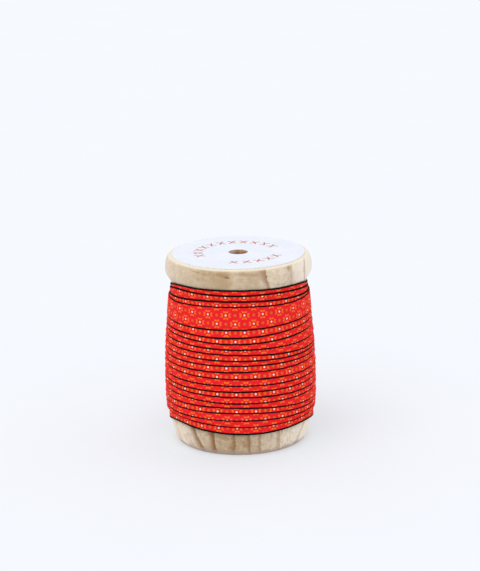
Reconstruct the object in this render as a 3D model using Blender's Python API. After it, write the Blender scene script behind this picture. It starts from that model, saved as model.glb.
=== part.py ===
"""Roll of red bias tape wound on a turned wooden spool with a round paper label.

Z is up, the spool's axis is the Z axis, its base lies on z = 0 and the front is -Y.
Azimuths are in degrees from the front, positive towards +X. Lengths are in millimetres
here and turn into metres where a mesh is made.

The tape was laid from the bottom to the top in its last layer, each turn lapping over the
one below, so every turn shows a strip above its lower edge and only the last turn shows
its whole width. Above it, up to the flange, the layer beneath shows its upper edges.
"""

import math

import bmesh
import bpy
import numpy as np

MM = 0.001
SEGMENTS = 72  # round each piece

# Spool
SPOOL_HEIGHT = 65.3
BORE_RADIUS = 3.15
BORE_CHAMFER = 0.4
CORE_RADIUS = 11.0

# Outline of each flange as (radius, distance from its outer face)
TOP_FLANGE = (
    (23.30, 0.0),
    (24.00, 0.5),
    (24.50, 1.4),
    (24.90, 2.8),
    (25.00, 4.2),
    (25.00, 5.6),
    (24.80, 6.4),
    (24.50, 7.1),
    (23.70, 8.5),
    (23.20, 9.9),
    (22.40, 10.5),
    (CORE_RADIUS, 13.5),
)
BOTTOM_FLANGE = (
    (21.60, 0.0),
    (22.30, 0.4),
    (22.90, 1.1),
    (23.30, 1.9),
    (23.60, 3.3),
    (24.00, 5.0),
    (24.20, 6.5),
    (24.10, 7.6),
    (23.50, 8.8),
    (22.40, 9.4),
    (CORE_RADIUS, 12.4),
)
BOTTOM_WIDEST = max(radius for radius, _ in BOTTOM_FLANGE)

# Paper label on the top face
LABEL_RADIUS = 22.75
LABEL_BORE_RADIUS = 3.3
LABEL_THICKNESS = 0.3

# Wound tape
CLEARANCE = 0.3  # between the pieces
TAPE_THICKNESS = 0.5
TAPE_WIDTH = 7.3
FADE_IN = 40.0  # degrees in which an end of the tape reaches its full step

# Height of each turn's lower edge at the azimuths -57, 0 and 58, from the first turn up
TURN_AZIMUTHS = (-57, 0, 58)
TURN_EDGES = (
    (11.8, 10.9, 10.8),
    (13.1, 13.3, 12.5),
    (15.3, 16.0, 14.3),
    (17.3, 17.9, 16.0),
    (19.8, 19.4, 19.1),
    (21.8, 21.6, 20.8),
    (23.3, 23.5, 23.0),
    (25.4, 25.7, 25.1),
    (28.0, 28.0, 27.2),
    (29.9, 30.4, 30.2),
    (32.1, 32.6, 32.0),
    (34.1, 34.3, 33.6),
    (36.2, 36.3, 34.9),
    (38.2, 38.1, 37.7),
    (40.3, 40.0, 40.8),
    (41.9, 42.1, 43.2),
    (44.3, 44.8, 45.4),
)
LAST_EDGE = 45.7  # where the tape ends, at the back

# Edges that run round in a closed ring: the height at each of these azimuths
RING_AZIMUTHS = (-180, -90, -60, -30, 0, 30, 60, 90)
LOWEST_EDGE = (7.6, 7.3, 9.3, 8.9, 8.3, 8.6, 8.9, 7.4)
# The upper edges of the layer beneath: heights, radius at the sides, share of the front bulge
BURIED_EDGES = (
    ((53.5, 52.2, 52.9, 53.9, 54.2, 53.8, 53.0, 52.3), 23.75, 0.70),
    ((54.7, 53.8, 55.3, 56.0, 56.2, 55.9, 55.0, 53.9), 23.50, 0.90),
    ((55.9, 55.0, 56.9, 57.4, 57.6, 57.4, 56.8, 55.1), 23.30, 1.00),
)
BURIED_STEP = 0.3
BAND_UPPER_RADIUS = 24.15
BAND_BULGE_SHARE = 0.45

# Radius over the turns' edges at each height
WOUND_RADIUS = (
    (6.1, 24.6),
    (7.5, 25.1),
    (9.0, 25.5),
    (12.0, 25.8),
    (16.3, 26.1),
    (22.2, 26.1),
    (27.9, 26.0),
    (32.3, 25.8),
    (36.6, 25.6),
    (40.9, 25.2),
    (43.8, 24.9),
    (46.6, 24.7),
)


def smooth(x, xs, ys):
    """Cubic curve through the points (xs, ys), held level beyond its ends."""
    xs = np.asarray(xs, float)
    ys = np.asarray(ys, float)
    slopes = np.gradient(ys, xs)
    i = np.clip(np.searchsorted(xs, x) - 1, 0, len(xs) - 2)
    gap = xs[i + 1] - xs[i]
    t = np.clip((x - xs[i]) / gap, 0, 1)
    start = (2 * t**3 - 3 * t**2 + 1) * ys[i] + (t**3 - 2 * t**2 + t) * gap * slopes[i]
    end = (3 * t**2 - 2 * t**3) * ys[i + 1] + (t**3 - t**2) * gap * slopes[i + 1]
    return start + end


def round_ring(values, azimuth):
    """Value at an azimuth of an edge that closes on itself."""
    repeats = [np.array(RING_AZIMUTHS) + turn for turn in (-360, 0, 360)]
    return smooth(azimuth, np.concatenate(repeats), np.tile(values, 3))


def turn_edge(angle):
    """Height of the spiral lower edge, by degrees wound since the tape's start at the back."""
    angles = [0]
    heights = [LOWEST_EDGE[0]]
    for turn, row in enumerate(TURN_EDGES):
        for azimuth, height in zip(TURN_AZIMUTHS, row):
            angles.append(360 * turn + 180 + azimuth)
            heights.append(height)
    angles.append(360 * len(TURN_EDGES))
    heights.append(LAST_EDGE)
    return smooth(angle, angles, heights)


def wound_radius(height):
    return np.interp(height, *zip(*WOUND_RADIUS))


def top_flange_radius(height):
    depth = SPOOL_HEIGHT - height
    return np.interp(depth, [row[1] for row in TOP_FLANGE], [row[0] for row in TOP_FLANGE])


def front_bulge(azimuth):
    """How far the highest turn stands out to lie over the lower round of the top flange."""
    heights, side_radius, _ = BURIED_EDGES[-1]
    height = round_ring(heights, azimuth)
    needed = top_flange_radius(height) + CLEARANCE + TAPE_THICKNESS
    return max(0.0, needed - side_radius)


def rising(angle):
    """0 at the start of a tape's end, 1 once it has reached its full step."""
    t = min(1.0, max(0.0, angle / FADE_IN))
    return t * t * (3 - 2 * t)


class Shell:
    """Points and faces of one piece, gathered ring by ring."""

    def __init__(self):
        self.points = []
        self.faces = []

    def point(self, radius, height, azimuth):
        turned = math.radians(azimuth)
        place = (radius * math.sin(turned), -radius * math.cos(turned), height)
        self.points.append([value * MM for value in place])
        return len(self.points) - 1

    def ring(self, radius, height):
        """A closed ring of points; radius and height are numbers or functions of azimuth."""
        column = []
        for step in range(SEGMENTS):
            azimuth = 360 * step / SEGMENTS - 180
            r = radius(azimuth) if callable(radius) else radius
            z = height(azimuth) if callable(height) else height
            column.append(self.point(r, z, azimuth))
        return column + column[:1]

    def strip(self, lower, upper):
        """Faces between two rows of points, seen from outside with the upper row on top."""
        for a, b, c, d in zip(lower, lower[1:], upper[1:], upper):
            corners = [a]
            for corner in (b, c, d):
                if corner not in corners:
                    corners.append(corner)
            self.faces.append(corners)

    def make(self, name, material, sharp_angle):
        mesh = bpy.data.meshes.new(name)
        mesh.from_pydata(self.points, [], self.faces)
        return link_piece(name, mesh, material, sharp_angle)


def link_piece(name, mesh, material, sharp_angle):
    mesh.materials.append(material)
    mesh.shade_smooth()
    mesh.set_sharp_from_angle(angle=math.radians(sharp_angle))
    piece = bpy.data.objects.new(name, mesh)
    bpy.context.scene.collection.objects.link(piece)
    return piece


def plain_material(name, colour, roughness):
    material = bpy.data.materials.new(name)
    material.use_nodes = True
    shader = material.node_tree.nodes["Principled BSDF"]
    shader.inputs["Base Color"].default_value = (*colour, 1)
    shader.inputs["Roughness"].default_value = roughness
    material.diffuse_color = (*colour, 1)
    return material


def turned_piece(name, outline, material, sharp_angle=30):
    """A closed outline of (radius, height) spun once about the axis."""
    form = bmesh.new()
    corners = [form.verts.new((radius * MM, 0, height * MM)) for radius, height in outline]
    edges = [form.edges.new(pair) for pair in zip(corners, corners[1:] + corners[:1])]
    bmesh.ops.spin(
        form,
        geom=corners + edges,
        cent=(0, 0, 0),
        axis=(0, 0, 1),
        angle=math.tau,
        steps=SEGMENTS,
        use_merge=True,
    )
    bmesh.ops.recalc_face_normals(form, faces=form.faces)
    mesh = bpy.data.meshes.new(name)
    form.to_mesh(mesh)
    form.free()
    return link_piece(name, mesh, material, sharp_angle)


def make_spool():
    outline = [(BORE_RADIUS + BORE_CHAMFER, 0)]
    outline += list(BOTTOM_FLANGE)
    outline += [(radius, SPOOL_HEIGHT - depth) for radius, depth in reversed(TOP_FLANGE)]
    outline += [
        (BORE_RADIUS + BORE_CHAMFER, SPOOL_HEIGHT),
        (BORE_RADIUS, SPOOL_HEIGHT - BORE_CHAMFER),
        (BORE_RADIUS, BORE_CHAMFER),
    ]
    return turned_piece("spool", outline, plain_material("wood", (0.66, 0.47, 0.29), 0.55))


def make_label():
    base = SPOOL_HEIGHT + CLEARANCE
    outline = [
        (LABEL_BORE_RADIUS, base),
        (LABEL_RADIUS, base),
        (LABEL_RADIUS, base + LABEL_THICKNESS),
        (LABEL_BORE_RADIUS, base + LABEL_THICKNESS),
    ]
    return turned_piece("paper_label", outline, plain_material("paper", (0.8, 0.84, 0.9), 0.7))


def spiral_rows(shell, lowest):
    """The rows of points under and on the spiral edge; both start on the lowest ring."""
    creases = [lowest[0]]
    tips = [lowest[0]]
    for step in range(1, len(TURN_EDGES) * SEGMENTS + 1):
        angle = 360 * step / SEGMENTS
        height = turn_edge(angle)
        radius = wound_radius(height)
        under = radius - TAPE_THICKNESS * rising(angle)
        azimuth = angle % 360 - 180
        creases.append(shell.point(under, height, azimuth))
        tips.append(shell.point(radius, height, azimuth))
    return creases, tips


def band_rows(shell):
    """The upper edge of the last turn: its outer points and those on the layer beneath."""
    outer = []
    inner = []
    for step in range(SEGMENTS + 1):
        angle = 360 * step / SEGMENTS
        azimuth = angle - 180
        height = turn_edge(360 * (len(TURN_EDGES) - 1) + angle) + TAPE_WIDTH
        height -= 0.6 * rising(angle - 180)
        under = BAND_UPPER_RADIUS - TAPE_THICKNESS + BAND_BULGE_SHARE * front_bulge(azimuth)
        radius = under + 0.15 + (TAPE_THICKNESS - 0.15) * rising(angle)
        outer.append(shell.point(radius, height, azimuth))
        inner.append(shell.point(under, height, azimuth))
    return outer, inner


def last_layer(shell, lowest):
    """The lapped turns on the lowest ring.

    Gives the row of points that the layer beneath goes on from, and the corners of the
    tape's end, which stands out in one plane at the back.
    """
    creases, tips = spiral_rows(shell, lowest)
    before_last = (len(TURN_EDGES) - 1) * SEGMENTS
    shell.strip(lowest, creases[: SEGMENTS + 1])
    shell.strip(creases, tips)
    shell.strip(tips[: before_last + 1], creases[SEGMENTS:])

    outer, inner = band_rows(shell)
    last_tips = tips[before_last:]
    shell.faces.append([last_tips[0], last_tips[1], outer[1], outer[0], creases[-1]])
    shell.strip(last_tips[1:], outer[1:])
    shell.strip(outer, inner)
    end_below = [creases[-1], outer[0], inner[0]]
    end_above = [inner[-1], outer[-1], last_tips[-1]]
    return inner, end_below, end_above


def layer_beneath(shell, below, end_below, end_above):
    """The upper edges that show between the last layer and the flange, each a small step in."""
    for heights, side_radius, share in BURIED_EDGES:
        height = lambda azimuth: round_ring(heights, azimuth)
        radius = lambda azimuth: side_radius + share * front_bulge(azimuth)
        outer = shell.ring(radius, height)
        shell.strip(below, outer)
        if end_below:
            shell.faces.append(end_below + [outer[0]] + end_above)
            end_below = None
        if share < 1:
            below = shell.ring(lambda azimuth: radius(azimuth) - BURIED_STEP, height)
            shell.strip(outer, below)
    return outer


def hidden_inside(shell, highest, lowest):
    """The side towards the spool, clear of both flanges and of the core."""
    top_height = lambda azimuth: round_ring(BURIED_EDGES[-1][0], azimuth)
    core = CORE_RADIUS + CLEARANCE
    top_rim, top_face, top_core = TOP_FLANGE[-3:]
    bottom_rim, bottom_face, bottom_core = BOTTOM_FLANGE[-3:]
    rows = [
        highest,
        shell.ring(lambda azimuth: top_flange_radius(top_height(azimuth)) + CLEARANCE, top_height),
        shell.ring(top_rim[0] + 0.25, SPOOL_HEIGHT - top_rim[1] - 0.5),
        shell.ring(top_face[0], SPOOL_HEIGHT - top_face[1] - 0.4),
        shell.ring(core, SPOOL_HEIGHT - top_core[1] - 0.4),
        shell.ring(core, bottom_core[1] + 0.4),
        shell.ring(bottom_face[0], bottom_face[1] + 0.4),
        shell.ring(bottom_rim[0] + 0.3, bottom_rim[1] + 0.35),
        shell.ring(BOTTOM_WIDEST + CLEARANCE, lambda azimuth: round_ring(LOWEST_EDGE, azimuth)),
        lowest,
    ]
    for lower, upper in zip(rows, rows[1:]):
        shell.strip(lower, upper)


def make_winding():
    shell = Shell()
    lowest = shell.ring(
        lambda azimuth: wound_radius(round_ring(LOWEST_EDGE, azimuth)),
        lambda azimuth: round_ring(LOWEST_EDGE, azimuth),
    )
    highest = layer_beneath(shell, *last_layer(shell, lowest))
    hidden_inside(shell, highest, lowest)
    material = plain_material("printed_tape", (0.78, 0.03, 0.04), 0.8)
    return shell.make("tape_winding", material, 40)


for thing in list(bpy.data.objects):
    bpy.data.objects.remove(thing, do_unlink=True)
bpy.context.scene.unit_settings.system = "METRIC"
make_spool()
make_label()
make_winding()
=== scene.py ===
"""Looks of the roll of red bias tape on its turned wooden spool.

Lengths are in millimetres here and turn into metres where a mesh is made. Azimuths are in
degrees from the front (-Y), positive towards +X.
"""

import math

import bmesh
import bpy
import numpy as np
from mathutils import Matrix, Vector


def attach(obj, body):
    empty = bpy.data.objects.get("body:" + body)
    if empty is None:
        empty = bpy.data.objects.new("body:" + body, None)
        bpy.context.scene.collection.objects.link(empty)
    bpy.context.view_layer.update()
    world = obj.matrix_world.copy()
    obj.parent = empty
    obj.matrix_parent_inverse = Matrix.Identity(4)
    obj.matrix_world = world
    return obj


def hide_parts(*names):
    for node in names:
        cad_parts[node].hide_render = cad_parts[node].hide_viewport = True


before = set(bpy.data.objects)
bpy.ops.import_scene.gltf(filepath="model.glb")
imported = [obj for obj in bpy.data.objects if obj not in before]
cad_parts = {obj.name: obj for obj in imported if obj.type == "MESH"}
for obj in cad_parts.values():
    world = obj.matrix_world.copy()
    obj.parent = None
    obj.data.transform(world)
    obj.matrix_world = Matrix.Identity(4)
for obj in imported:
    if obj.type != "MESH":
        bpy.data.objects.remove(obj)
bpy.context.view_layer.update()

MM = 0.001

# Camera
CAMERA_PITCH = 15.2
CAMERA_DISTANCE = 760.0
CAMERA_AIM = (0.40, 0.0, 53.7)
CAMERA_ROLL = -1.1
CAMERA_LENS = 140.2  # on a 36 mm sensor, along the picture's long side

# Spool
SPOOL_HEIGHT = 65.3
BORE_RADIUS = 3.15
BORE_CHAMFER = 0.4
CORE_RADIUS = 11.0
SPOOL_SEGMENTS = 288
CURVE_STEPS = 4  # between two points of a flange's outline
SHARP_ANGLE = 38  # in degrees, from which an edge is shaded as a sharp one

# Outline of each flange as (radius, distance from its outer face)
TOP_FLANGE = (
    (23.30, 0.0),
    (24.00, 0.5),
    (24.50, 1.4),
    (24.90, 2.7),
    (25.00, 3.9),
    (25.00, 5.1),
    (24.80, 5.9),
    (24.45, 6.6),
    (23.60, 8.0),
    (23.00, 9.5),
    (22.40, 10.4),
    (CORE_RADIUS, 13.5),
)
BOTTOM_FLANGE = (
    (21.30, 0.0),
    (21.95, 0.4),
    (22.50, 1.1),
    (22.85, 1.9),
    (23.20, 3.3),
    (23.60, 5.0),
    (23.90, 6.5),
    (23.90, 7.6),
    (23.50, 8.8),
    (22.40, 9.4),
    (CORE_RADIUS, 12.4),
)

# Paper label
LABEL_RADIUS = 22.6
LABEL_BORE_RADIUS = 3.3
LABEL_TOP = 65.6
LABEL_THICKNESS = 0.26
LABEL_SEGMENTS = 240
LABEL_RINGS = 10
LABEL_WAVE = 0.04  # height of its faint waves
LABEL_WAVE_RATE = 0.9  # radians for each millimetre outwards
# Small crosses on two arcs, as
# (radius, middle azimuth, crosses each side, pitch, half height, stroke)
LABEL_MARKS = (
    (13.7, -154.5, 5, 4.0, 1.5, 0.45),
    (14.0, 29.0, 2, 4.3, 1.5, 0.45),
)
CROSS_RATIO = 3.6  # pitch of the crosses over half the width of one

# Tape
TAPE_WIDTH = 7.3
TAPE_THICKNESS = 0.34
LAP_STEP = 0.36
LAP_AIR = 0.06  # between a turn and the one that covers it
LEAST_DROP = 0.02  # least slope of a lapped turn, in mm for each mm of width
LEAST_SPAN = 1.2  # least width over which a turn goes in by one step
LEAST_VISIBLE = 0.02  # of a turn of the layer beneath
HIDDEN_DROP = 0.12  # how much steeper the tape goes in where it is covered
BARE = TAPE_WIDTH + 1  # a visible width over the whole width: nothing covers the tape
COLUMNS_A_TURN = 200

# Section of the tape
FOLD_EASE = 0.06  # how far the round of a folded edge stands back beside its middle
FOLD_TURN = 0.3  # where it does so, as a share of half the thickness from each face
SHOWN_SHARES = (0.3, 0.5, 0.7, 0.85, 1.0)  # points across the part that shows
FAR_MARGIN = 1.0  # from the last of them to the covered edge, at least

# Unevenness of a hand-wound tape: how large it is and how fast it changes
RIPPLE = 0.045  # of its face
RIPPLE_ALONG = 3.1
RIPPLE_ACROSS = 60
RIPPLE_SHIFT = 0.1
WANDER_OUT = 0.05  # of its edge
WANDER_UP = 0.06
WANDER_UP_RATE = 1.7

# Painted shade on the turned edges and under the laps
LAP_SHADE = (0.385, 0.525)  # distance from the covering edge at which the shade ends, softly
TURNED_SHADE = (0.0, 0.12)  # the same above the rim, on the turned edge
EDGE_MARGIN = 0.1  # which the outer face adds to its distance from the turned edge
RELIEF = 0.45  # shade that the narrowest strips are spared
RELIEF_LOSS = 0.35  # and how much less of it for each mm that a strip is wide
LOWEST_RIM = 0.75  # painted shade rim of the winding's lowest edge
LAP_RIM = 0.17  # of every lapped turn
TOP_RIM = 0.55  # of the highest turn in front
TOP_RIM_BEHIND = 0.20
UPPER_RIM = 0.1  # of the other upper edges
RIM_FADE = (-15, 15)  # degrees wound over which the lowest rim passes into the next
TOP_RIM_FADE = (70, 130)  # degrees from the front over which the top rim narrows

# Height of each turn's lower edge at the azimuths -57, 0 and 58, from the first turn up
TURN_AZIMUTHS = (-57, 0, 58)
TURN_EDGES = (
    (12.3, 11.3, 11.4),
    (13.6, 13.7, 13.0),
    (15.8, 16.4, 14.8),
    (17.8, 18.3, 16.5),
    (20.3, 19.8, 19.6),
    (22.3, 22.0, 21.3),
    (23.8, 23.9, 23.5),
    (25.9, 26.0, 25.5),
    (28.5, 28.3, 27.6),
    (30.4, 30.7, 30.6),
    (32.6, 32.9, 32.4),
    (34.6, 34.6, 34.0),
    (36.7, 36.6, 35.3),
    (38.7, 38.4, 38.1),
    (40.8, 40.3, 41.1),
    (42.4, 42.4, 43.5),
    (44.8, 45.1, 45.7),
)
LAST_EDGE = 46.0  # its height where the tape ends
TURNS = len(TURN_EDGES)
BAND_FADE = (-60, 120)  # degrees about the start of the last turn over which it lies flat

# Lowest edge of the winding, as (azimuth, height)
LOWEST_EDGE = (
    (-180, 7.8),
    (-90, 7.5),
    (-60, 9.7),
    (-30, 9.0),
    (0, 8.2),
    (30, 8.4),
    (60, 9.0),
    (90, 7.5),
    (180, 7.9),
)

# Upper edge of the layer beneath, which goes down turn by turn, as (turn, azimuth, height)
UPPER_EDGE = (
    (-1, 60, 52.8),
    (0, -180, 55.5),
    (0, -90, 55.3),
    (0, -60, 58.1),
    (0, -30, 58.6),
    (0, 0, 58.7),
    (0, 30, 58.3),
    (0, 60, 57.7),
    (0, 90, 55.4),
    (1, -180, 54.9),
    (1, -90, 54.1),
    (1, -60, 56.4),
    (1, -30, 56.6),
    (1, 0, 56.5),
    (1, 30, 56.4),
    (1, 60, 55.6),
    (1, 90, 54.1),
    (2, -180, 54.1),
    (2, -90, 52.5),
    (2, -60, 53.4),
    (2, -30, 54.3),
    (2, 0, 54.5),
    (2, 30, 54.0),
    (2, 60, 53.3),
    (2, 90, 52.5),
    (3, -180, 51.9),
    (3, -90, 49.8),
    (3, 0, 49.3),
)
BACK_HEIGHT = 55.5  # of its highest turn, behind
# Radius of that edge at the sides by turn, and the share of the front bulge that it takes
UPPER_RADII = ((-1, 22.6), (0, 23.3), (1, 23.5), (2, 23.75), (3, 23.8))
BULGE_SHARES = ((-1, 1.0), (1, 0.9), (2, 0.7), (3, 0.5))
BULGE_GAP = 0.45  # from the round of the top flange to the edge that lies over it
BENEATH_SPAN = (-120, 1060)  # degrees wound, over which the layer beneath is built
BENEATH_COLUMNS = 656
BENEATH_AIR = 0.04  # between two of its turns
BAND_BLEND = (-0.5, 0.5)  # mm about the crossing of the band's and a turn's upper edge
# Width of the full band, as (azimuth, width)
BAND_WIDTHS = (
    (-180, 7.3),
    (-62, 6.9),
    (-25, 7.5),
    (5, 7.5),
    (42, 6.5),
    (62, 6.3),
    (120, 6.9),
    (180, 7.3),
)
BAND_UPPER_RADIUS = 24.15
BAND_BULGE_SHARE = 0.45

# Radius over the turns' edges, as (height, radius)
WOUND_RADIUS = (
    (6.1, 24.6),
    (7.5, 25.1),
    (9.0, 25.5),
    (12.0, 25.8),
    (16.3, 26.1),
    (22.2, 26.1),
    (27.9, 26.0),
    (32.3, 25.8),
    (36.6, 25.6),
    (40.9, 25.2),
    (43.8, 24.9),
    (46.6, 24.7),
)

# Print: flowers with four petals on a half-drop lattice
FLOWERS_A_TURN = 25
FLOWER_PERIOD = 6.45
ROW_HEIGHT = 3.03
ROW_START = 47.1  # height of one row
FLOWER_PHASE = -0.233  # in periods, for that row
FLOWER_STRETCH = 1.2  # how much wider a flower is than it is high
# Soft edges of its parts, in mm from the flower's middle
PETALS_START = (0.78, 1.04)
PETALS_END = (1.42, 1.74)
PETAL_SIDES = (0.75, 0.98)
PETAL_GAPS = (0.30, 0.58)
PETAL_NOTCH = 0.24  # how much further a petal reaches at its sides, for each mm squared
EYE = (0.22, 0.44)
HEART = (0.5, 1.0)
# The same from the middle of a dot
DOT = (0.25, 0.75)
DOT_GROUND = (0.6, 1.3)
THREAD_PITCH = 0.30

# Colours of the tape in 0..255
TAPE_RED = (236, 34, 32)
TAPE_PINK = (250, 34, 50)
DOT_RED = (222, 34, 34)
DOT_ORANGE = (234, 104, 42)
PETAL_DEEP = (255, 94, 34)
PETAL_LIGHT = (255, 124, 46)
HEART_RED = (198, 24, 28)
EYE_WHITE = (255, 226, 214)
THREAD_SHADE = (120, 8, 14)
# Painted shade under the laps and on the turned edges
LAP_PAINTED_SHADE = (8, 4, 5)

# Wood
LINE_EDGE_BELOW = 0.45  # how soft the sharp side of a growth line is, on the lower flange
LINE_EDGE_ABOVE = 0.35  # and on the upper one
FLECK_TILT = 0.08  # how much the flecks drop for each mm to the right
SLANT_X = 9.1  # the slanting line, upright above the bend and leaning below it
SLANT_BEND = 63.0
SLANT_LEAN = 0.24
TONES_REACH = 26.0  # x at the ends of the tables of tones
# Fineness of the grain along X, Y and Z
FIBRES_ABOVE = (0.3, 3.0, 4.0)
FIBRES_BELOW = (3.0, 1.5, 0.4)
STREAKS = (0.1, 0.9, 1.6)
TURNING_MARKS = 9.0  # radians for each mm up

# Colours of the wood in 0..255
WOOD_DEEP = (182, 156, 121)
WOOD_PALE = (243, 228, 207)
FIBRE_BROWN = (176, 146, 112)
STREAK_TAN = (184, 154, 112)
SPECK_BROWN = (140, 106, 80)
SPECK_PALE = (226, 208, 184)
# Painted light that makes the right side and the foot's sides paler
RIGHT_SIDE_LIGHT = (255, 244, 230)
FOOT_SIDE_LIGHT = (255, 234, 204)
LINE_BROWN = (144, 98, 56)
# Painted highlight along the rounded rim of the top
RIM_HIGHLIGHT = (242, 230, 207)
# Painted shade along the foot's lower rim
FOOT_RIM_SHADE = (173, 153, 142)
BORE_PALE = (206, 174, 148)
BORE_BROWN = (178, 128, 88)
# Painted highlight inside the bore
BORE_HIGHLIGHT = (206, 154, 110)

# Colours of the label and the floor in 0..255
PAPER_WHITE = (238, 240, 247)
PAPER_LINE = (222, 226, 239)
PAPER_GRAIN = (222, 224, 234)
CROSS_RED = (192, 92, 80)
FLOOR_GREY = (192, 194, 198)
FLOOR_PALE = (193, 195, 199)
FLOOR_GLOW = (246, 249, 254)

# Floor and light
FLOOR_REACH = 8000
GLOW_STRENGTH = 0.38
SKY_COLOUR = (0.97, 0.985, 1.0, 1)
SKY_STRENGTH = 0.88
KEY_STRENGTH = 0.85
KEY_SPREAD = 60  # in degrees
KEY_TILT = 32
KEY_TURN = -25

# Growth lines of the lower flange as (x at the foot, lean for each mm up, soft width, strength)
LOWER_LINES = (
    (-20.0, -0.30, 1.2, 0.25),
    (-12.3, -0.43, 2.3, 0.90),
    (-8.6, -0.11, 2.7, 1.05),
    (-2.6, 0.02, 1.9, 0.80),
    (3.0, -0.06, 1.4, 0.75),
    (6.4, 0.02, 1.6, 0.55),
    (12.4, 0.05, 1.6, 0.50),
    (18.0, 0.42, 1.0, 0.40),
)
# Growth lines of the upper flange as (x, soft width, strength)
UPPER_LINES = (
    (-21.2, 1.8, 0.16),
    (17.8, 2.6, 0.35),
    (22.4, 0.9, 0.50),
)
# Brown flecks on the front of both flanges as (x, height, half length, half height, strength)
FLECKS = (
    (-14.2, 64.0, 2.6, 0.32, 0.55),
    (-11.2, 63.6, 2.0, 0.30, 0.35),
    (-5.7, 63.7, 4.6, 1.00, 0.48),
    (-3.9, 63.1, 1.6, 0.60, 0.95),
    (3.6, 63.8, 7.0, 1.00, 0.45),
    (9.1, 62.7, 0.5, 1.20, 1.00),
    (16.7, 64.2, 1.0, 1.40, 0.58),
    (17.2, 59.6, 2.4, 1.60, 0.20),
    (13.5, 59.4, 4.0, 0.35, 0.35),
    (-5.9, 6.7, 3.8, 1.00, 0.50),
    (0.9, 4.6, 1.3, 2.20, 0.35),
    (6.0, 6.3, 1.8, 0.60, 0.45),
    (10.1, 6.7, 0.7, 1.60, 0.40),
    (12.6, 6.8, 1.3, 1.10, 0.45),
    (18.2, 1.6, 1.6, 0.90, 0.50),
)
# Paleness across each flange, as (share of the way from left to right, paleness): partly the
# wood's own tone, partly painted light that makes both sides paler than the middle
UPPER_TONES = (
    (0.04, 0.80),
    (0.14, 0.42),
    (0.30, 0.13),
    (0.42, -0.10),
    (0.46, 0.32),
    (0.62, 0.26),
    (0.68, 0.68),
    (0.85, 0.66),
    (0.90, 0.85),
)
LOWER_TONES = (
    (0.06, 1.15),
    (0.20, 0.48),
    (0.34, 0.12),
    (0.44, 0.00),
    (0.54, 0.04),
    (0.59, 0.28),
    (0.66, 0.38),
    (0.78, 0.90),
    (0.90, 1.15),
)


def smooth(x, xs, ys):
    """Cubic curve through the points (xs, ys), held level beyond its ends."""
    x = np.asarray(x, float)
    xs = np.asarray(xs, float)
    ys = np.asarray(ys, float)
    slopes = np.gradient(ys, xs)
    i = np.clip(np.searchsorted(xs, x) - 1, 0, len(xs) - 2)
    gap = xs[i + 1] - xs[i]
    t = np.clip((x - xs[i]) / gap, 0, 1)
    start = (2 * t**3 - 3 * t**2 + 1) * ys[i] + (t**3 - 2 * t**2 + t) * gap * slopes[i]
    end = (3 * t**2 - 2 * t**3) * ys[i + 1] + (t**3 - t**2) * gap * slopes[i + 1]
    return start + end


def fade(x, low, high):
    """0 up to low, 1 from high on, smooth between."""
    t = np.clip((np.asarray(x, float) - low) / (high - low), 0, 1)
    return t * t * (3 - 2 * t)


def wound_radius(height):
    """Radius of the turns' edges at a height."""
    return np.interp(height, *zip(*WOUND_RADIUS))


def top_flange_radius(height):
    """Radius of the top flange at a height."""
    depth = SPOOL_HEIGHT - height
    return np.interp(depth, [row[1] for row in TOP_FLANGE], [row[0] for row in TOP_FLANGE])


def unevenness(angle, seed):
    """Small wander of a hand-wound edge, in -1..1, by degrees wound."""
    turned = np.radians(angle)
    waves = ((1.37, 0.4), (2.61, 1.7), (4.93, 3.1), (7.19, 0.9))
    return sum(np.sin(rate * turned + phase + seed) for rate, phase in waves) / len(waves)


def link_mesh(name, points, faces, material, body="root"):
    """A smooth mesh of points in millimetres, as a piece that rides on a body."""
    mesh = bpy.data.meshes.new(name)
    mesh.from_pydata((np.asarray(points) * MM).tolist(), [], faces)
    mesh.materials.append(material)
    mesh.shade_smooth()
    piece = bpy.data.objects.new(name, mesh)
    bpy.context.scene.collection.objects.link(piece)
    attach(piece, body)
    return piece


def outward(piece):
    """Turns all faces of a closed piece outwards."""
    form = bmesh.new()
    form.from_mesh(piece.data)
    bmesh.ops.recalc_face_normals(form, faces=form.faces)
    form.to_mesh(piece.data)
    form.free()


def add_attribute(piece, name, values):
    """Gives each point of a piece a vector that its material reads."""
    layer = piece.data.attributes.new(name, "FLOAT_VECTOR", "POINT")
    layer.data.foreach_set("vector", np.asarray(values, np.float32).ravel())


def srgb(colour):
    """Linear colour of one given in 0..255."""
    shares = [value / 255 for value in colour]
    linear = [s / 12.92 if s <= 0.04045 else ((s + 0.055) / 1.055) ** 2.4 for s in shares]
    return (*linear, 1.0)


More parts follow.
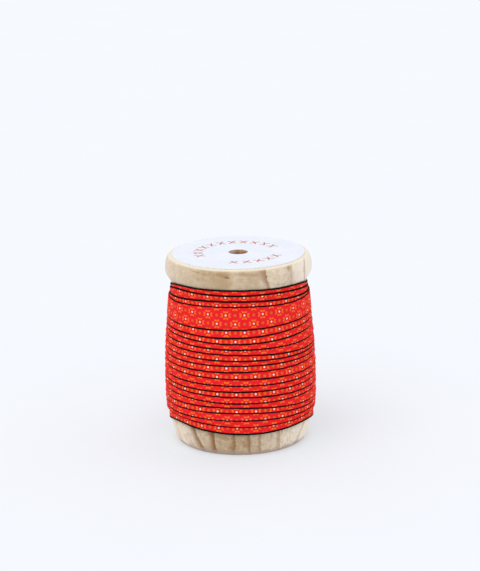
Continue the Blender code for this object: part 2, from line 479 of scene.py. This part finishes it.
class Shader:
    """Short ways to build one material's nodes. A value is a socket, a number or a colour."""

    def __init__(self, name, roughness):
        self.material = bpy.data.materials.new(name)
        self.material.use_nodes = True
        self.tree = self.material.node_tree
        self.surface = self.tree.nodes["Principled BSDF"]
        self.surface.inputs["Roughness"].default_value = roughness

    def node(self, kind, values=(), **settings):
        made = self.tree.nodes.new(kind)
        for key, value in settings.items():
            setattr(made, key, value)
        for socket, value in values:
            self.put(made.inputs[socket], value)
        return made

    def put(self, socket, value):
        if isinstance(value, bpy.types.NodeSocket):
            self.tree.links.new(value, socket)
        else:
            socket.default_value = value

    def math(self, operation, *values):
        made = self.node("ShaderNodeMath", enumerate(values), operation=operation)
        return made.outputs[0]

    def wave(self, value):
        return self.math("SINE", value)

    def size(self, value):
        return self.math("ABSOLUTE", value)

    def largest(self, a, b):
        return self.math("MAXIMUM", a, b)

    def add(self, a, b):
        return self.math("ADD", a, b)

    def subtract(self, a, b):
        return self.math("SUBTRACT", a, b)

    def times(self, a, b):
        return self.math("MULTIPLY", a, b)

    def distance(self, a, b):
        return self.math("SQRT", self.add(self.times(a, a), self.times(b, b)))

    def fade(self, value, low, high, start=0.0, end=1.0):
        """start where value is under low, end where it is over high, smooth between."""
        limits = ((0, value), (1, low), (2, high), (3, start), (4, end))
        made = self.node("ShaderNodeMapRange", limits, interpolation_type="SMOOTHSTEP")
        return made.outputs[0]

    def mix(self, share, first, second):
        made = self.node("ShaderNodeMix", data_type="RGBA")
        for socket, value in zip((0, 6, 7), (share, first, second)):
            self.put(made.inputs[socket], value)
        return made.outputs[2]

    def parts(self, vector):
        return self.node("ShaderNodeSeparateXYZ", [(0, vector)]).outputs

    def vector(self, x, y, z):
        return self.node("ShaderNodeCombineXYZ", enumerate((x, y, z))).outputs[0]

    def stretched(self, point, rates):
        scaled = [self.times(part, rate) for part, rate in zip(self.parts(point), rates)]
        return self.vector(*scaled)

    def attribute(self, name):
        made = self.node("ShaderNodeAttribute", attribute_name=name)
        return made.outputs["Vector"]

    def place(self):
        """The point in the object's frame, in millimetres."""
        point = self.node("ShaderNodeTexCoord").outputs["Object"]
        made = self.node("ShaderNodeVectorMath", [(0, point), (3, 1 / MM)], operation="SCALE")
        return made.outputs[0]

    def noise(self, vector, scale, detail=2.0, roughness=0.5):
        values = (("Vector", vector), ("Scale", scale))
        values += (("Detail", detail), ("Roughness", roughness))
        return self.node("ShaderNodeTexNoise", values).outputs["Fac"]

    def ramp(self, value, stops):
        """Grey value read off a table of (place, grey)."""
        made = self.node("ShaderNodeValToRGB", [(0, value)])
        steps = made.color_ramp.elements
        for extra in range(len(stops) - 2):
            steps.new(0.5)
        for step, (place, grey) in zip(steps, stops):
            step.position = place
            step.color = (grey, grey, grey, 1)
        return made.outputs[0]

    def bump(self, height, strength, distance):
        values = (("Height", height), ("Strength", strength), ("Distance", distance * MM))
        self.put(self.surface.inputs["Normal"], self.node("ShaderNodeBump", values).outputs[0])

    def colour(self, value):
        self.put(self.surface.inputs["Base Color"], value)


def tape_material():
    """Plain cotton cut on the bias, with a small flower print; painted shade where turns lap.
    """
    s = Shader("printed_tape", 0.85)
    along, up, _ = s.parts(s.attribute("print_place"))
    along_mm = s.times(along, FLOWER_PERIOD)
    up_mm = s.times(up, ROW_HEIGHT)
    cloth = s.vector(along_mm, up_mm, 0.0)
    colour = flower_print(s, along, up, cloth)

    # Threads run at 45 degrees to the tape
    thread = math.pi / (THREAD_PITCH * math.sqrt(2))
    warp = s.wave(s.times(s.add(along_mm, up_mm), thread))
    weft = s.wave(s.times(s.subtract(along_mm, up_mm), thread))
    weave = s.times(warp, weft)
    colour = s.mix(s.fade(weave, -0.9, 0.4, 0.14, 0.0), colour, srgb(THREAD_SHADE))

    # Painted deep shade under each lap and on the turned edge itself
    from_edge, from_cover, rim = s.parts(s.attribute("edges"))
    lap = s.fade(from_cover, *LAP_SHADE, 1.0, 0.0)
    turned = s.fade(s.subtract(from_edge, rim), *TURNED_SHADE, 1.0, 0.0)
    s.colour(s.mix(s.largest(lap, turned), colour, srgb(LAP_PAINTED_SHADE)))

    slack = s.noise(cloth, 0.34, 2.0)
    height = s.add(s.times(weave, 0.10), s.times(slack, 0.9))
    s.bump(height, 0.5, 0.35)
    s.surface.inputs["Sheen Weight"].default_value = 0.015
    s.surface.inputs["Specular IOR Level"].default_value = 0.07
    return s.material


def flower_print(s, along, up, cloth):
    """Colour of the print at a place in periods along the tape and in rows up."""
    # The nearest flower, and the point's place from its middle in millimetres
    row = s.math("ROUND", up, 0.0)
    dy = s.times(s.subtract(up, row), ROW_HEIGHT)
    half_drop = s.times(s.math("FLOORED_MODULO", row, 2.0), 0.5)
    shifted = s.subtract(along, half_drop)
    dx = s.times(s.subtract(shifted, s.math("ROUND", shifted, 0.0)), FLOWER_PERIOD)
    across = s.size(dx)

    # Ground: strong red, mottled with pink
    mottle = s.noise(cloth, 0.85, 2.0, 0.6)
    colour = s.mix(s.fade(mottle, 0.40, 0.64), srgb(TAPE_RED), srgb(TAPE_PINK))

    # A faint orange dot half way to the next flower, on deeper red
    from_dot = s.distance(s.subtract(across, FLOWER_PERIOD / 2), dy)
    colour = s.mix(s.fade(from_dot, *DOT_GROUND, 0.55, 0.0), colour, srgb(DOT_RED))
    colour = s.mix(s.fade(from_dot, *DOT, 0.85, 0.0), colour, srgb(DOT_ORANGE))

    # Flower: four notched petals round a white eye
    tall = s.times(s.size(dy), FLOWER_STRETCH)
    long_way = s.largest(across, tall)
    short_way = s.math("MINIMUM", across, tall)
    notched = s.subtract(long_way, s.times(s.times(short_way, short_way), PETAL_NOTCH))
    petals = s.times(s.fade(long_way, *PETALS_START), s.fade(short_way, *PETAL_SIDES, 1.0, 0.0))
    petals = s.times(petals, s.fade(notched, *PETALS_END, 1.0, 0.0))
    petals = s.times(petals, s.fade(s.subtract(long_way, short_way), *PETAL_GAPS))
    petal = s.mix(s.fade(short_way, 0.1, 0.7), srgb(PETAL_DEEP), srgb(PETAL_LIGHT))
    from_eye = s.distance(dx, dy)
    colour = s.mix(s.fade(from_eye, *HEART, 0.55, 0.0), colour, srgb(HEART_RED))
    colour = s.mix(petals, colour, petal)
    return s.mix(s.fade(from_eye, *EYE, 1.0, 0.0), colour, srgb(EYE_WHITE))


def tape_section(visible, width):
    """Points of the tape's section in turn, as (way across from its edge, depth)."""
    half = TAPE_THICKNESS / 2
    fold = [
        (half, -2 * half),
        (FOLD_EASE, -(2 - FOLD_TURN) * half),
        (0, -half),
        (FOLD_EASE, -FOLD_TURN * half),
        (half, 0),
    ]
    section = [(np.full_like(width, inwards), depth) for inwards, depth in fold]
    shown = np.minimum(visible, width - FAR_MARGIN)
    for share in SHOWN_SHARES:
        section.append((np.maximum(shown * share, half * (1 + share)), 0))
    section.append(((np.maximum(shown, 2 * half) + width - half) / 2, 0))
    section += [(width - inwards, depth) for inwards, depth in reversed(fold)]
    section.append((width / 2, -2 * half))
    return section


def lay_tape(name, angle, height, radius, width, visible, drop, side, rim, material):
    """A flat folded tape laid along a rising or falling edge.

    Each column starts at the edge that shows, at (radius, height), and runs back under the
    next turn: side is 1 where it runs up and -1 where it runs down. visible is the width
    that shows, drop how far it sinks for each millimetre of width, and rim the width of
    the painted shade along its edge.
    """
    section = tape_section(visible, width)
    length = np.sqrt(1 + drop**2)
    turned = np.radians(angle % 360 - 180)
    relief = np.maximum(0, RELIEF - RELIEF_LOSS * visible)
    points = np.empty((len(angle), len(section), 3))
    places = np.empty_like(points)
    edges = np.empty_like(points)
    for i, (across, depth) in enumerate(section):
        outer_face = depth == 0
        waves = unevenness(RIPPLE_ALONG * angle + RIPPLE_ACROSS * across, RIPPLE_SHIFT * i)
        out = depth + RIPPLE * waves * outer_face
        sink = drop * across + HIDDEN_DROP * np.maximum(0, across - visible)
        r = radius + (out - sink) / length
        z = height + side * (across + drop * out) / length
        points[:, i] = np.stack([r * np.sin(turned), -r * np.cos(turned), z], axis=1)
        places[:, i, 0] = (angle - 180) / 360 * FLOWERS_A_TURN - FLOWER_PHASE
        places[:, i, 1] = (z - ROW_START) / ROW_HEIGHT
        places[:, i, 2] = 0
        edges[:, i, 0] = across + (EDGE_MARGIN if outer_face else -EDGE_MARGIN)
        edges[:, i, 1] = visible - across + relief if outer_face else 1
        edges[:, i, 2] = rim

    count = len(section)
    faces = []
    for column in range(len(angle) - 1):
        for i in range(count):
            a = column * count + i
            b = column * count + (i + 1) % count
            faces.append((a, a + count, b + count, b))
    last = (len(angle) - 1) * count
    faces.append(tuple(range(count)))
    faces.append(tuple(range(last, last + count)))
    piece = link_mesh(name, points.reshape(-1, 3), faces, material)
    add_attribute(piece, "print_place", places)
    add_attribute(piece, "edges", edges)
    outward(piece)
    return piece


def upper_edge(angle):
    """Height of the falling upper edge, by degrees wound since its turn 0 began."""
    angles = [360 * turn + azimuth + 180 for turn, azimuth, _ in UPPER_EDGE]
    return smooth(angle, angles, [height for _, _, height in UPPER_EDGE])


def front_bulge(azimuth):
    """How far the highest turn stands out to lie over the lower round of the top flange."""
    height = np.maximum(upper_edge(azimuth + 180), BACK_HEIGHT)
    radius_at_sides = dict(UPPER_RADII)[0]
    return np.maximum(0, top_flange_radius(height) + BULGE_GAP - radius_at_sides)


def lower_edge(angle):
    """Height of the rising lower edge, by degrees wound since it left the lowest ring."""
    angles = [azimuth - 180 for azimuth, _ in LOWEST_EDGE]
    heights = [height for _, height in LOWEST_EDGE]
    for turn, row in enumerate(TURN_EDGES):
        for azimuth, height in zip(TURN_AZIMUTHS, row):
            angles.append(360 * turn + 180 + azimuth)
            heights.append(height)
    angles.append(360 * TURNS)
    heights.append(LAST_EDGE)
    return smooth(angle, angles, heights)


def band_width(azimuth):
    """Width of the last turn, which nothing covers."""
    return smooth(azimuth, *zip(*BAND_WIDTHS))


def band_upper_radius(azimuth):
    """Radius of the last turn's upper edge."""
    return BAND_UPPER_RADIUS + BAND_BULGE_SHARE * front_bulge(azimuth)


def last_layer(material):
    """The lapped turns that rise to the full band, from one turn along the lowest ring."""
    angle = np.linspace(-360, 360 * TURNS, (TURNS + 1) * COLUMNS_A_TURN + 1)
    azimuth = angle % 360 - 180
    height = lower_edge(angle)
    cover = lower_edge(angle + 360)
    last_turn = 360 * (TURNS - 1)
    visible = np.where(angle > last_turn, BARE, cover - height)
    radius = wound_radius(height) - LAP_STEP * (1 - fade(angle, -360, 0))

    # Each turn goes in under the next; the last one lies flat over its whole width
    span = np.maximum(visible, LEAST_SPAN)
    way_in = LAP_STEP + LAP_AIR + radius - wound_radius(height + span)
    lapped = np.maximum(LEAST_DROP, way_in / span)
    flat = (radius - band_upper_radius(azimuth)) / TAPE_WIDTH
    band_start, band_full = BAND_FADE
    band = fade(angle, last_turn + band_start, last_turn + band_full)
    width = TAPE_WIDTH * (1 - band) + band_width(azimuth) * band
    drop = lapped * (1 - band) + flat * band

    radius = radius + WANDER_OUT * unevenness(angle, 2.0)
    height = height + WANDER_UP * unevenness(angle * WANDER_UP_RATE, 0.5)
    rim = LOWEST_RIM - (LOWEST_RIM - LAP_RIM) * fade(angle, *RIM_FADE)
    return lay_tape(
        "tape_last_layer", angle, height, radius, width, visible, drop, 1, rim, material
    )


def beneath_radius(angle):
    """Radius of the upper edge of the layer beneath, by degrees wound as in upper_edge."""
    turn = angle / 360
    share = np.interp(turn, *zip(*BULGE_SHARES))
    return np.interp(turn, *zip(*UPPER_RADII)) + share * front_bulge(angle % 360 - 180)


def layer_beneath(material):
    """The turns under the last layer, whose upper edges show up to the flange."""
    angle = np.linspace(*BENEATH_SPAN, BENEATH_COLUMNS)
    azimuth = angle % 360 - 180
    height = upper_edge(angle)
    radius = beneath_radius(angle)

    # What lies over each turn: the next turn, or the full band where that reaches higher
    next_turn = upper_edge(angle + 360)
    band = lower_edge(360 * (TURNS - 1) + azimuth + 180) + band_width(azimuth)
    banded = fade(band - next_turn, *BAND_BLEND)
    next_radius = beneath_radius(angle + 360)
    cover_radius = next_radius * (1 - banded) + band_upper_radius(azimuth) * banded
    visible = np.maximum(height - np.maximum(next_turn, band), LEAST_VISIBLE)
    way_in = radius - cover_radius + TAPE_THICKNESS + BENEATH_AIR
    drop = way_in / np.maximum(visible, LEAST_SPAN)
    top_rim = TOP_RIM - (TOP_RIM - TOP_RIM_BEHIND) * fade(np.abs(azimuth), *TOP_RIM_FADE)
    rim = np.where(angle < 360, top_rim, UPPER_RIM)
    width = np.full_like(angle, TAPE_WIDTH)
    return lay_tape(
        "tape_beneath", angle, height, radius, width, visible, drop, -1, rim, material
    )


def wood_material():
    """Pale turned wood with brown growth lines, tonal bands and fine fibres, and painted light
    that makes its sides paler.
    """
    s = Shader("turned_wood", 0.5)
    place = s.place()
    x, _, z = s.parts(place)
    upper = s.fade(z, 30.0, 34.0)
    lower = s.subtract(1.0, upper)
    wander = s.times(s.subtract(s.noise(place, 0.25, 2.0), 0.5), 1.6)
    waved = s.add(x, wander)
    blotch = s.subtract(s.noise(place, 0.45, 3.0, 0.6), 0.5)

    # Broad tone across the wood, darker in the middle and paler at both sides: partly the
    # wood's own tone, partly painted light
    share = s.times(s.add(waved, TONES_REACH), 1 / (2 * TONES_REACH))
    tone_above = s.times(s.ramp(share, UPPER_TONES), upper)
    tone_below = s.times(s.ramp(share, LOWER_TONES), lower)
    tone = s.add(s.add(tone_above, tone_below), s.times(blotch, 0.9))
    colour = s.mix(tone, srgb(WOOD_DEEP), srgb(WOOD_PALE))

    # Fine fibres, along X above and upright below, and longer streaks above
    fibres_above = s.noise(s.stretched(place, FIBRES_ABOVE), 1.0, 2.0, 0.6)
    fibres_below = s.noise(s.stretched(place, FIBRES_BELOW), 1.0, 2.0, 0.6)
    fibres = s.add(s.times(fibres_above, upper), s.times(fibres_below, lower))
    colour = s.mix(s.fade(fibres, 0.40, 0.66, 0.0, 0.30), colour, srgb(FIBRE_BROWN))
    streaks = s.noise(s.stretched(place, STREAKS), 1.0, 2.0, 0.5)
    streaks = s.times(s.fade(streaks, 0.46, 0.66, 0.0, 0.30), upper)
    colour = s.mix(streaks, colour, srgb(STREAK_TAN))

    # Brown and pale specks on the lower flange
    specks = s.noise(place, 1.3, 3.0, 0.65)
    brown = s.times(s.fade(specks, 0.51, 0.67, 0.0, 0.34), lower)
    colour = s.mix(brown, colour, srgb(SPECK_BROWN))
    pale = s.times(s.fade(specks, 0.34, 0.48, 0.34, 0.0), lower)
    colour = s.mix(pale, colour, srgb(SPECK_PALE))

    # Painted light: the right side is painted paler, and the foot is painted paler at both
    # sides
    colour = s.mix(s.fade(x, 15.0, 23.5, 0.0, 0.65), colour, srgb(RIGHT_SIDE_LIGHT))
    sides = s.times(s.fade(s.size(x), 17.0, 22.0, 0.0, 0.32), lower)
    colour = s.mix(sides, colour, srgb(FOOT_SIDE_LIGHT))

    lines = wood_lines(s, place, waved, upper, lower)
    colour = s.mix(lines, colour, srgb(LINE_BROWN))
    s.colour(wood_painted_light_and_bore(s, colour, place, blotch))

    marks = s.wave(s.times(z, TURNING_MARKS))
    height = s.add(s.times(fibres, 0.8), s.times(marks, 0.06))
    s.bump(s.add(height, s.times(lines, -0.3)), 0.35, 0.12)
    s.surface.inputs["Specular IOR Level"].default_value = 0.3
    return s.material


def growth_line(s, off, width, edge, strength):
    """A line that comes in softly over its width from the left and ends sharply."""
    return s.times(s.fade(off, -width, 0.0), s.fade(off, 0.0, edge, strength, 0.0))


def wood_lines(s, place, waved, upper, lower):
    """How strong the growth lines, the flecks and the slanting line are at a place."""
    x, y, z = s.parts(place)
    lines = 0.0
    for at_foot, lean, width, strength in LOWER_LINES:
        off = s.subtract(s.subtract(waved, s.times(z, lean)), at_foot)
        lines = s.largest(lines, growth_line(s, off, width, LINE_EDGE_BELOW, strength))
    lines = s.times(lines, lower)
    for middle, width, strength in UPPER_LINES:
        off = s.subtract(waved, middle)
        line = growth_line(s, off, width, LINE_EDGE_ABOVE, strength)
        lines = s.largest(lines, s.times(line, upper))

    # Ragged flecks, on the front alone
    front = s.fade(y, -6.0, 2.0, 1.0, 0.0)
    level = s.add(z, s.times(x, FLECK_TILT))
    ragged = s.times(s.subtract(s.noise(place, 1.5, 2.0), 0.5), 0.8)
    for middle, height, long, high, strength in FLECKS:
        nearness = s.distance(
            s.times(s.subtract(x, middle), 1 / long),
            s.times(s.subtract(level, height + FLECK_TILT * middle), 1 / high),
        )
        fleck = s.fade(s.add(nearness, ragged), 0.1, 1.0, strength, 0.0)
        lines = s.largest(lines, s.times(fleck, front))

    # The slanting line of the upper flange, whose soft side is widest at its top
    down = s.largest(s.subtract(SLANT_BEND, z), 0.0)
    off = s.subtract(s.subtract(waved, SLANT_X), s.times(down, SLANT_LEAN))
    soft_side = s.fade(z, 60.0, 63.0, -1.8, -3.6)
    slant = s.times(s.fade(off, soft_side, 0.0, 0.0, 0.78), s.fade(off, 0.0, 0.4, 1.0, 0.0))
    slant = s.times(slant, s.fade(z, 58.5, 62.5, 0.85, 1.0))
    return s.largest(lines, s.times(s.times(slant, front), upper))


def wood_painted_light_and_bore(s, colour, place, blotch):
    """The colour with a painted highlight along the top's rim, painted shade along the foot's
    lower rim, and the bore brown with a streak of painted highlight.
    """
    x, y, z = s.parts(place)
    from_axis = s.distance(x, y)
    # Painted highlight along the rounded rim of the top
    rim_highlight = s.times(s.fade(z, 64.60, 65.25), s.fade(from_axis, 10.0, 20.0, 0.0, 0.9))
    colour = s.mix(rim_highlight, colour, srgb(RIM_HIGHLIGHT))
    # Painted shade along the foot's lower rim
    foot_shade = s.fade(s.add(z, s.times(blotch, 2.5)), 1.0, 2.2, 0.75, 0.0)
    colour = s.mix(foot_shade, colour, srgb(FOOT_RIM_SHADE))

    # The bore's wall is paler on the left, and lighter in one streak of painted highlight
    bore = s.mix(s.fade(x, -1.7, -0.6), srgb(BORE_PALE), srgb(BORE_BROWN))
    from_highlight = s.size(s.subtract(x, 0.8))
    bore = s.mix(s.fade(from_highlight, 0.15, 0.5, 0.8, 0.0), bore, srgb(BORE_HIGHLIGHT))
    return s.mix(s.fade(from_axis, 3.3, 3.7, 0.9, 0.0), colour, bore)


def refined(outline):
    """The outline with smooth curves between its points."""
    keys = np.arange(len(outline))
    fine = np.linspace(0, len(outline) - 1, (len(outline) - 1) * CURVE_STEPS + 1)
    radii, heights = zip(*outline)
    return list(zip(smooth(fine, keys, radii), smooth(fine, keys, heights)))


def make_spool():
    """The turned spool, finer than its solid."""
    outline = [(BORE_RADIUS + BORE_CHAMFER, 0)]
    outline += refined(BOTTOM_FLANGE[:-1]) + [BOTTOM_FLANGE[-1]]
    upper = [(radius, SPOOL_HEIGHT - depth) for radius, depth in reversed(TOP_FLANGE)]
    outline += [upper[0]] + refined(upper[1:])
    outline += [
        (BORE_RADIUS + BORE_CHAMFER, SPOOL_HEIGHT),
        (BORE_RADIUS, SPOOL_HEIGHT - BORE_CHAMFER),
        (BORE_RADIUS, BORE_CHAMFER),
    ]
    piece = turned_piece("turned_spool", outline, SPOOL_SEGMENTS, wood_material())
    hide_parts("spool")


def turned_piece(name, outline, segments, material):
    """A closed outline of (radius, height) turned about the axis."""
    points = []
    faces = []
    count = len(outline)
    for step in range(segments):
        turned = math.tau * step / segments
        for radius, height in outline:
            points.append((radius * math.sin(turned), -radius * math.cos(turned), height))
    for step in range(segments):
        here = step * count
        there = (step + 1) % segments * count
        for i in range(count):
            j = (i + 1) % count
            faces.append((here + i, there + i, there + j, here + j))
    piece = link_mesh(name, points, faces, material)
    outward(piece)
    piece.data.set_sharp_from_angle(angle=math.radians(SHARP_ANGLE))
    return piece


def paper_material():
    """Bluish white paper with faint slanting lines and small printed crosses."""
    s = Shader("label_paper", 0.6)
    place = s.place()
    x, y, _ = s.parts(place)
    wave = s.wave(s.times(s.add(s.times(x, 1.5), s.times(y, 0.9)), 2.6))
    grain = s.noise(place, 2.5, 2.0)
    patch = s.noise(place, 0.22, 1.0)
    lines = s.times(s.fade(wave, -0.5, 0.8), s.fade(patch, 0.30, 0.65, 0.35, 1.0))
    colour = s.mix(lines, srgb(PAPER_WHITE), srgb(PAPER_LINE))
    colour = s.mix(s.fade(grain, 0.4, 0.7, 0.0, 0.2), colour, srgb(PAPER_GRAIN))
    for marks in LABEL_MARKS:
        colour = s.mix(crosses(s, x, y, *marks), colour, srgb(CROSS_RED))
    s.colour(colour)
    s.bump(s.add(grain, s.times(wave, 0.1)), 0.2, 0.05)
    return s.material


def crosses(s, x, y, radius, middle, each_side, pitch, half_height, stroke):
    """Ink of one arc of small crosses, as a strength."""
    turned = math.radians(middle)
    ahead = s.subtract(s.times(x, math.sin(turned)), s.times(y, math.cos(turned)))
    aside = s.add(s.times(x, math.cos(turned)), s.times(y, math.sin(turned)))
    angle = s.math("ARCTAN2", aside, ahead)
    step = s.times(angle, radius / pitch)
    off = s.times(s.size(s.subtract(step, s.math("ROUND", step, 0.0))), pitch)
    high = s.size(s.subtract(s.distance(x, y), radius))
    slope = CROSS_RATIO * half_height / pitch
    from_stroke = s.size(s.subtract(high, s.times(off, slope)))
    ink = s.fade(from_stroke, stroke * 0.6, stroke * 1.4, 1.0, 0.0)
    ink = s.times(ink, s.fade(high, half_height, half_height + 0.2, 1.0, 0.0))
    limit = (each_side + 0.5) * pitch / radius
    return s.times(ink, s.fade(s.size(angle), limit - 0.02, limit, 0.95, 0.0))


def make_label():
    """Thin paper disc lying on the top face."""
    base = LABEL_TOP - LABEL_THICKNESS
    rings = np.linspace(LABEL_BORE_RADIUS, LABEL_RADIUS, LABEL_RINGS)
    outline = [(r, base) for r in rings]
    for r in reversed(rings):
        outline.append((r, LABEL_TOP + LABEL_WAVE * math.sin(r * LABEL_WAVE_RATE)))
    piece = turned_piece("label", outline, LABEL_SEGMENTS, paper_material())
    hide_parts("paper_label")


def make_camera():
    """The camera of the photo, looking a little down on the roll."""
    pitch = math.radians(CAMERA_PITCH)
    back = Vector((0, -math.cos(pitch), math.sin(pitch)))
    up = Vector((0, math.sin(pitch), math.cos(pitch)))
    right = Vector((1, 0, 0))
    turn = Matrix((right, up, back)).transposed().to_4x4()
    roll = Matrix.Rotation(math.radians(CAMERA_ROLL), 4, "Z")
    eye = (Vector(CAMERA_AIM) + back * CAMERA_DISTANCE) * MM
    camera = bpy.data.objects.new("camera", bpy.data.cameras.new("camera"))
    camera.data.lens = CAMERA_LENS
    camera.data.clip_start = 0.01
    camera.data.clip_end = 50
    camera.matrix_world = Matrix.Translation(eye) @ turn @ roll
    bpy.context.scene.collection.objects.link(camera)
    bpy.context.scene.camera = camera


def make_floor():
    """Plain pale floor that glows a little, so that the roll's shadow stays weak."""
    s = Shader("floor_paper", 0.9)
    speckle = s.fade(s.noise(s.place(), 0.02, 2.0), 0.3, 0.7, 0.0, 1.0)
    s.colour(s.mix(speckle, srgb(FLOOR_GREY), srgb(FLOOR_PALE)))
    s.surface.inputs["Emission Color"].default_value = srgb(FLOOR_GLOW)
    s.surface.inputs["Emission Strength"].default_value = GLOW_STRENGTH
    s.surface.inputs["Specular IOR Level"].default_value = 0.0
    reach = FLOOR_REACH * MM
    corners = [(-reach, -reach, 0), (reach, -reach, 0), (reach, reach, 0), (-reach, reach, 0)]
    mesh = bpy.data.meshes.new("floor")
    mesh.from_pydata(corners, [], [(0, 1, 2, 3)])
    mesh.materials.append(s.material)
    floor = bpy.data.objects.new("floor", mesh)
    bpy.context.scene.collection.objects.link(floor)


def make_light():
    """Even light from all round and one broad soft key from the front left."""
    world = bpy.data.worlds.new("studio")
    world.use_nodes = True
    sky = world.node_tree.nodes["Background"]
    sky.inputs["Color"].default_value = SKY_COLOUR
    sky.inputs["Strength"].default_value = SKY_STRENGTH
    bpy.context.scene.world = world
    sun = bpy.data.lights.new("soft_key", "SUN")
    sun.energy = KEY_STRENGTH
    sun.angle = math.radians(KEY_SPREAD)
    lamp = bpy.data.objects.new("soft_key", sun)
    lamp.rotation_euler = (math.radians(KEY_TILT), 0, math.radians(KEY_TURN))
    bpy.context.scene.collection.objects.link(lamp)


make_spool()
make_label()
tape = tape_material()
laps = last_layer(tape)
beneath = layer_beneath(tape)
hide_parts("tape_winding")
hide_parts("tape_winding")
make_floor()
make_light()
make_camera()
bpy.context.scene.view_settings.view_transform = "Standard"
